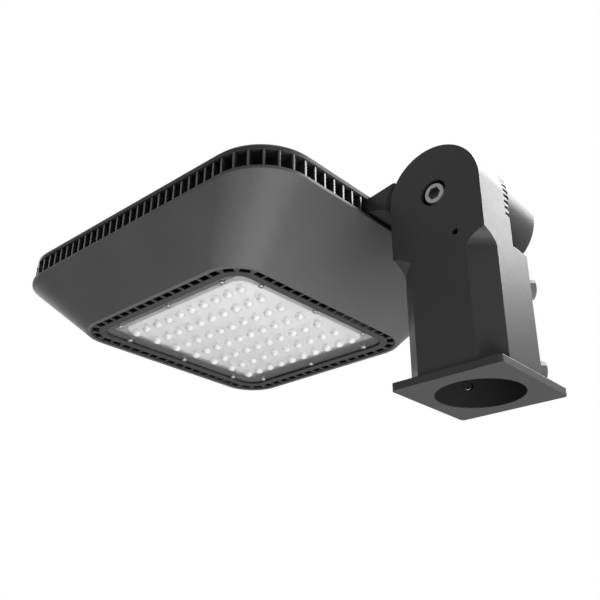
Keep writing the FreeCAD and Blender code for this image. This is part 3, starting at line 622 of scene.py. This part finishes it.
def lens_outline(points_per_corner=9):
    """The plate's rounded outline as plane points."""
    middle, half, _, _ = lens_box()
    outline = []
    for k, (sx, sy) in enumerate(((1, 1), (-1, 1), (-1, -1), (1, -1))):
        for step in range(points_per_corner):
            angle = (k + step / (points_per_corner - 1)) * math.pi / 2
            x = middle.x + sx * (half.x - LENS_CORNER_R) + LENS_CORNER_R * math.cos(angle)
            y = middle.y + sy * (half.y - LENS_CORNER_R) + LENS_CORNER_R * math.sin(angle)
            outline.append((x, y))
    return outline


def pierced_sheet(bm, outline, spots, z):
    """A flat sheet at one level with the round foot of a dome cut out at every spot."""
    points = [Vector(point) for point in outline]
    edges = [(k, (k + 1) % len(outline)) for k in range(len(outline))]
    for x, y in spots:
        first = len(points)
        points += [Vector((x + px, y + py)) for px, py, _ in circle(DOME_R, 0, DOME_POINTS)]
        edges += [(first + k, first + (k + 1) % DOME_POINTS) for k in range(DOME_POINTS)]
    flat, _, triangles, _, _, _ = delaunay_2d_cdt(points, edges, [], 1, 1e-4)
    verts = [bm.verts.new((point.x, point.y, z)) for point in flat]
    for corners in triangles:
        centre = sum((flat[k] for k in corners), Vector((0.0, 0.0))) / len(corners)
        if not any((centre - Vector(spot)).length < 0.98 * DOME_R for spot in spots):
            bm.faces.new([verts[k] for k in corners])


def dome_rings(x, y, z):
    """The rings of a ball's cap that hangs from a level, down to just beside its crown."""
    ball_r = (DOME_R ** 2 + DOME_H ** 2) / (2 * DOME_H)
    widest = math.asin(DOME_R / ball_r)
    rings = []
    for ring in range(DOME_RINGS):
        turn = widest * (1.0 - ring / DOME_RINGS)
        level = z - DOME_H + ball_r * (1.0 - math.cos(turn))
        ring_r = ball_r * math.sin(turn)
        rings.append([(x + px, y + py, level) for px, py, _ in circle(ring_r, 0, DOME_POINTS)])
    return rings


def make_optics(bm):
    """Both faces of the plate, its edge and the domes, which take the second finish."""
    _, _, face_z, back_z = lens_box()
    outline = lens_outline()
    spots = led_places()
    pierced_sheet(bm, outline, spots, face_z)
    walls = stack(bm, [[(x, y, z) for x, y in outline] for z in (face_z, back_z)])
    bm.faces.new(walls[1])
    plain = len(bm.faces)
    for x, y in spots:
        loops = stack(bm, dome_rings(x, y, face_z))
        crown = bm.verts.new((x, y, face_z - DOME_H))
        for k in range(DOME_POINTS):
            bm.faces.new((loops[-1][k], loops[-1][(k + 1) % DOME_POINTS], crown))
    bm.faces.ensure_lookup_table()
    for face in bm.faces[plain:]:
        face.material_index = 1
    bmesh.ops.remove_doubles(bm, verts=bm.verts, dist=1e-3)


optics = fit_piece(shaped("lens_optics", make_optics, [Matrix()]), "head", "clear_lens", "lens_plate")
optics.data.materials.append(make_frosted_optic())
# The lamps' light reaches the board undimmed
optics.visible_shadow = False


# Screws, bolts and the pivot nut

ROUND_POINTS = 32
HEX_POINTS = 48
HEX_CROWN = 0.475


def cross(arm, half):
    """The outline of a cross recess."""
    return [(arm, -half), (arm, half), (half, half), (half, arm), (-half, arm), (-half, half),
            (-arm, half), (-arm, -half), (-half, -half), (-half, -arm), (half, -arm), (half, -half)]


def six_corners(flats):
    """The plane corners of a hexagon of a size across its flats."""
    return [(x, y) for x, y, _ in circle(flats / math.sqrt(3), 0, 6)]


def screw_head(radius, height, recess, depth):
    """A maker for a domed screw head on z = 0 with a recess of the given outline."""
    def make(bm):
        draws = ((0.0, 0.97), (0.06, 1.0), (0.4, 1.0), (0.7, 0.95), (0.9, 0.85), (1.0, 0.68))
        loops = stack(bm, [circle(radius * draw, height * lift, ROUND_POINTS) for lift, draw in draws])
        mouth = loop_of(bm, [(x, y, height) for x, y in recess])
        floor = loop_of(bm, [(0.8 * x, 0.8 * y, height - depth) for x, y in recess])
        pierce(bm, loops[-1], mouth)
        skin(bm, mouth, floor)
        bm.faces.new(floor)
        bm.faces.new(loops[0])
    return make


def hex_ring(flats, z_at):
    """Points round a hexagon, each at a height that follows its distance from the axis."""
    points = []
    for k in range(HEX_POINTS):
        angle = 2 * math.pi * k / HEX_POINTS
        radius = flats / 2 / math.cos(angle % (math.pi / 3) - math.pi / 6)
        points.append((radius * math.cos(angle), radius * math.sin(angle), z_at(radius)))
    return points


def hex_rings(flats, height):
    """A hexagon's rings from its washer face to the crown that is turned down at the corners."""
    crown = HEX_CROWN * flats
    step = 0.07 * height
    slope = math.tan(math.radians(30))
    return [
        circle(crown, 0.0, HEX_POINTS),
        circle(crown, step, HEX_POINTS),
        hex_ring(flats, lambda radius: step),
        hex_ring(flats, lambda radius: height - (radius - crown) * slope),
        circle(crown, height, HEX_POINTS),
    ]


THREAD_STEPS = 6


def thread_rings(radius, pitch, start, end):
    """Rings of a shank with one V groove to a turn, eased at its tip."""
    rows = round(abs(end - start) / pitch * THREAD_STEPS)
    rings = []
    for row in range(rows + 1):
        z = start + (end - start) * row / rows
        ease = min(1.0, 0.84 + 0.16 * (rows - row) / THREAD_STEPS)
        ring = []
        for k, (x, y, _) in enumerate(circle(1.0, 0, ROUND_POINTS)):
            phase = (z / pitch - k / ROUND_POINTS) % 1.0
            reach = ease * (radius - 0.55 * pitch * (1.0 - abs(2.0 * phase - 1.0)))
            ring.append((reach * x, reach * y, z))
        rings.append(ring)
    return rings


CLAMP_FLATS, CLAMP_HEAD_H, CLAMP_DISH = 13.0, 5.3, 0.5
CLAMP_R, CLAMP_PITCH = 4.0, 1.25
CLAMP_SEAT, CLAMP_TIP = 41.5, 31.3
CLAMP_LEVELS = (17.0, 80.0)


def make_clamp_bolt(bm):
    """A hex bolt with a dished head and a threaded shank."""
    crown = HEX_CROWN * CLAMP_FLATS
    dish = [
        circle(0.8 * crown, CLAMP_HEAD_H, HEX_POINTS),
        circle(0.7 * crown, CLAMP_HEAD_H - CLAMP_DISH, HEX_POINTS),
    ]
    head = stack(bm, hex_rings(CLAMP_FLATS, CLAMP_HEAD_H) + dish)
    bm.faces.new(head[-1])
    bm.faces.new(head[0])
    thread = stack(bm, thread_rings(CLAMP_R, CLAMP_PITCH, 0.0, CLAMP_TIP - CLAMP_SEAT))
    bm.faces.new(thread[-1])
    bm.faces.new(thread[0])


def fit_clamp_bolts():
    """Two bolts at each level, square to each other on the fitter's far side."""
    number = 0
    for level in CLAMP_LEVELS:
        for side in (1, -1):
            number += 1
            name = "clamp_bolt_%d" % number
            away = Vector((side, 1.0, 0.0)).normalized()
            place = facing(away, away * CLAMP_SEAT + Vector((0.0, 0.0, level)))
            fit_piece(shaped("threaded_" + name, make_clamp_bolt, [place]), name, "zinc_steel", name)


PIVOT_R = 6.0
NUT_FLATS, NUT_T, NUT_SINK = 18.0, 10.0, 0.9


def make_pivot_nut(bm):
    """A hex nut, turned down at both faces and countersunk round its thread."""
    bore = [
        circle(PIVOT_R + NUT_SINK, NUT_T, HEX_POINTS),
        circle(PIVOT_R, NUT_T - NUT_SINK, HEX_POINTS),
        circle(PIVOT_R, 0.0, HEX_POINTS),
    ]
    loops = stack(bm, hex_rings(NUT_FLATS, NUT_T) + bore)
    skin(bm, loops[-1], loops[0])


LENS_SCREW_R, LENS_SCREW_H = 2.5, 1.6
LENS_SCREW_CROSS, LENS_SCREW_CUT = cross(1.3, 0.3), 0.9
LENS_SCREW_X, LENS_SCREW_Y, LENS_SCREW_SPACING = 83.5, 90.0, 65.0
LENS_SCREW_TWIST = 0.7


def fit_lens_screws():
    """Three screws along each side of the lens, every one turned differently."""
    middle, _, face_z, _ = lens_box()
    spots = []
    for step in (-1, 0, 1):
        for side in (1, -1):
            spots.append((middle.x + side * LENS_SCREW_X, middle.y + step * LENS_SCREW_SPACING))
            spots.append((middle.x + step * LENS_SCREW_SPACING, middle.y + side * LENS_SCREW_Y))
    places = [facing((0, 0, -1), (x, y, face_z), LENS_SCREW_TWIST * k) for k, (x, y) in enumerate(spots)]
    head = screw_head(LENS_SCREW_R, LENS_SCREW_H, LENS_SCREW_CROSS, LENS_SCREW_CUT)
    heads = fit_piece(shaped("lens_screw_heads", head, places), "head", "zinc_steel", "lens_screws")
    heads.material_slots[0].material = BRIGHT_ZINC


COVER_SCREW_R, COVER_SCREW_H = 4.5, 2.0
COVER_SCREW_KEY, COVER_SCREW_CUT = six_corners(4.0), 1.4
COVER_SCREW_X, COVER_SCREW_Y = 80.0, 86.0


def fit_cover_screws():
    """Four button heads on the cover, every one turned differently."""
    middle = lens_box()[0]
    seat_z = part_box("cover_screws")[1][2] / MM - COVER_SCREW_H
    places = []
    for sx in (1, -1):
        for sy in (1, -1):
            spot = (middle.x + sx * COVER_SCREW_X, middle.y + sy * COVER_SCREW_Y, seat_z)
            places.append(facing((0, 0, 1), spot, 0.4 * sx + 0.9 * sy))
    head = screw_head(COVER_SCREW_R, COVER_SCREW_H, COVER_SCREW_KEY, COVER_SCREW_CUT)
    fit_piece(shaped("cover_screw_heads", head, places), "head", "zinc_steel", "cover_screws")


def fit_pivot_nut():
    """The nut on the pivot screw's far end."""
    low, high = (Vector(corner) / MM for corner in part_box("pivot_nut"))
    seat = (low + high) / 2
    nut = shaped("turned_pivot_nut", make_pivot_nut, [facing((0, 1, 0), (seat.x, low.y, seat.z))])
    fit_piece(nut, "fitter", "zinc_steel", "pivot_nut")


fit_clamp_bolts()
fit_lens_screws()
fit_cover_screws()
fit_pivot_nut()


# Studio

FLOOR_Z = -1.05
FLOOR_SIDE = 60.0
FLOOR_GLOW = 0.75
FLOOR_FADE_FROM, FLOOR_FADE_TO = 1.0, 6.0
FLOOR_SHEEN = 0.15
FLOOR_PALE, FLOOR_DULL = (0.82, 0.82, 0.82), (0.79, 0.79, 0.79)
AMBIENT = 0.1


def seen_directly(tree, mirrored):
    """One for the eye, a set share for reflections and through the lens, nought for the object's light."""
    path = add(tree, "ShaderNodeLightPath")
    passed = math_node(tree, "MAXIMUM", path.outputs["Is Glossy Ray"], path.outputs["Is Transmission Ray"])
    undimmed = math_node(tree, "LESS_THAN", path.outputs["Diffuse Depth"], 0.5)
    passed = math_node(tree, "MULTIPLY", math_node(tree, "MULTIPLY", passed, undimmed), mirrored)
    return math_node(tree, "MAXIMUM", path.outputs["Is Camera Ray"], passed)


def make_floor_paint():
    """Plain pale paint that keeps a soft shadow near the light and fades to white far from it."""
    material, tree, shader = new_finish("pale_floor", Roughness=0.8)
    speckle = noise(tree, own_place(tree), 40.0, 4.0)
    tree.links.new(blend_colours(tree, speckle, FLOOR_PALE, FLOOR_DULL), shader.inputs["Base Color"])
    flat = add(tree, "ShaderNodeVectorMath", {1: (1.0, 1.0, 0.0)}, operation="MULTIPLY")
    tree.links.new(own_place(tree), flat.inputs[0])
    away = add(tree, "ShaderNodeVectorMath", operation="LENGTH")
    tree.links.new(flat.outputs["Vector"], away.inputs[0])
    share = ranged(tree, away.outputs["Value"], FLOOR_FADE_FROM, FLOOR_FADE_TO, FLOOR_GLOW, 1.0)
    glow = add(tree, "ShaderNodeEmission")
    both = add(tree, "ShaderNodeMixShader")
    tree.links.new(math_node(tree, "MULTIPLY", seen_directly(tree, FLOOR_SHEEN), share), both.inputs["Fac"])
    tree.links.new(shader.outputs[0], both.inputs[1])
    tree.links.new(glow.outputs[0], both.inputs[2])
    out = next(node for node in tree.nodes if node.bl_idname == "ShaderNodeOutputMaterial")
    tree.links.new(both.outputs[0], out.inputs["Surface"])
    return material


def make_floor():
    """A wide pale floor below the light, out of the main view."""
    mesh = bpy.data.meshes.new("floor")
    half = FLOOR_SIDE / 2
    corners = [(-half, -half, FLOOR_Z), (half, -half, FLOOR_Z), (half, half, FLOOR_Z), (-half, half, FLOOR_Z)]
    mesh.from_pydata(corners, [], [(0, 1, 2, 3)])
    floor = bpy.data.objects.new("floor", mesh)
    bpy.context.collection.objects.link(floor)
    mesh.materials.append(make_floor_paint())


def make_world():
    """White for the eye, for reflections and through the lens; a weaker fill for the coat."""
    world = bpy.data.worlds.new("studio")
    bpy.context.scene.world = world
    world.use_nodes = True
    tree = world.node_tree
    tree.nodes.clear()
    seen = seen_directly(tree, 1.0)
    sky = add(tree, "ShaderNodeBackground", {"Color": (1.0, 1.0, 1.0, 1.0)})
    tree.links.new(ranged(tree, seen, 0.0, 1.0, AMBIENT, 1.0), sky.inputs["Strength"])
    out = add(tree, "ShaderNodeOutputWorld")
    tree.links.new(sky.outputs[0], out.inputs["Surface"])


# Soft boxes: one behind and above that whitens the faces turned to it, one low in front for the
# undersides, and one at the far end for the back and a raised lens
LAMPS = {
    "rim_box": {"place": (0.42, 0.92, 0.95), "aim": (0.0, 0.0, 0.13), "size": (1.4, 0.66), "power": 27.0},
    "low_box": {"place": (0.2, -0.06, -0.62), "aim": (-0.5, 0.0, 0.12), "size": (0.7, 0.7), "power": 6.7},
    "back_box": {"place": (-1.5, 0.25, 0.75), "aim": (-0.2, 0.0, 0.15), "size": (1.2, 1.2), "power": 7.0},
}


def make_lamp(name, place, aim, size, power):
    """A soft box that faces its aim and isn't itself seen."""
    data = bpy.data.lights.new(name, "AREA")
    data.shape = "RECTANGLE"
    data.size, data.size_y = size
    data.energy = power
    lamp = bpy.data.objects.new(name, data)
    lamp.location = place
    lamp.visible_camera = False
    lamp.rotation_euler = (Vector(aim) - Vector(place)).to_track_quat("-Z", "Y").to_euler()
    bpy.context.collection.objects.link(lamp)


VIEW_PLACE = (0.2686, -0.4818, -0.1846)
VIEW_YAW, VIEW_PITCH = math.radians(131.9), math.radians(25.1)
VIEW_SENSOR, VIEW_LENS = 36.0, 49.82
VIEW_SHIFT_X, VIEW_SHIFT_Y = -0.0025, 0.0072
VIEW_NEAR, VIEW_FAR = 0.01, 40.0


def make_camera():
    """The photograph's view: from below, off the fitter's near corner."""
    right = Vector((math.sin(VIEW_YAW), -math.cos(VIEW_YAW), 0.0))
    level = math.cos(VIEW_PITCH)
    ahead = Vector((level * math.cos(VIEW_YAW), level * math.sin(VIEW_YAW), math.sin(VIEW_PITCH)))
    up = right.cross(ahead)
    data = bpy.data.cameras.new("photo_view")
    data.sensor_width = VIEW_SENSOR
    data.lens = VIEW_LENS
    data.shift_x = VIEW_SHIFT_X
    data.shift_y = VIEW_SHIFT_Y
    data.clip_start = VIEW_NEAR
    data.clip_end = VIEW_FAR
    camera = bpy.data.objects.new("photo_view", data)
    turn = Matrix((right, up, -ahead)).transposed().to_4x4()
    camera.matrix_world = Matrix.Translation(VIEW_PLACE) @ turn
    bpy.context.collection.objects.link(camera)
    bpy.context.scene.camera = camera


make_floor()
make_world()
for lamp_name, lamp_values in LAMPS.items():
    make_lamp(lamp_name, **lamp_values)
make_camera()
bpy.context.scene.view_settings.view_transform = "Standard"
